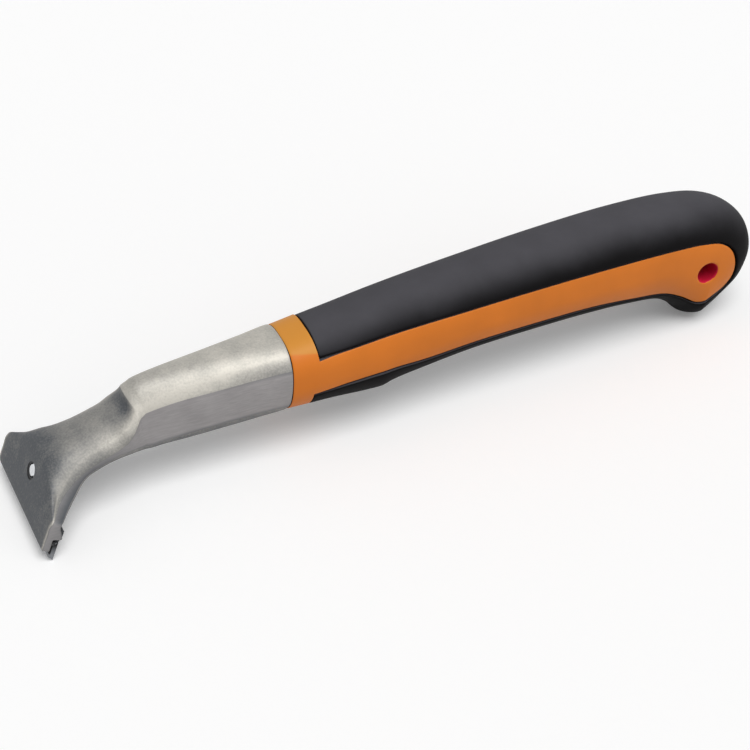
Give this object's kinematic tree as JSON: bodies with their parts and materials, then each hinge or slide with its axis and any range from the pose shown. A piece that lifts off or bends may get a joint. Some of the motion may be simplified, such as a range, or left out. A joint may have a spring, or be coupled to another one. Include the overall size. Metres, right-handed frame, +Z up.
{
  "type": "pull scraper",
  "caption": "Hand paint scraper with a reversible carbide blade clamped across a hoe-shaped cast head, and a soft-grip handle with a hang hole.",
  "frame": {"origin": "centre of the tool's box on the surface it lies on, with the blade edge and the pommel hook both on that surface", "axes": "+X from the blade towards the pommel, +Y across the tool, +Z up"},
  "size_m": [0.2804, 0.05, 0.0523],
  "materials": {
    "cast_metal": "satin, ground and tumbled casting",
    "hard_plastic": "satin moulded",
    "soft_grip": "fine matt moulded",
    "carbide": "ground tungsten carbide",
    "black_steel": "black oxide",
    "zinc_steel": "bright zinc plated"
  },
  "bodies": {
    "body": {"scraper_head": "cast_metal", "handle_core": "hard_plastic", "rubber_grip": "soft_grip"},
    "clamp": {"clamp_plate": "black_steel", "spring_washer": "zinc_steel"},
    "screw": {"clamp_screw": "zinc_steel"},
    "blade": {"carbide_blade": "carbide"}
  },
  "joints": [
    {"name": "clamp_slide", "type": "slide", "parent": "body", "child": "clamp", "axis": [0.9171, 0, -0.3987], "range_m": [0, 0.0016]},
    {"name": "screw_turn", "type": "hinge", "parent": "clamp", "child": "screw", "pos_m": [-0.1348, 0, 0.0182], "axis": [-0.9171, 0, 0.3987], "range_deg": [0, 720]},
    {"name": "blade_slide", "type": "slide", "parent": "body", "child": "blade", "axis": [0, 1, 0], "range_m": [-0.052, 0.052]}
  ],
  "couplings": [
    {"joint": "screw_turn", "follows": "clamp_slide", "rad_per_m": 7854}
  ]
}
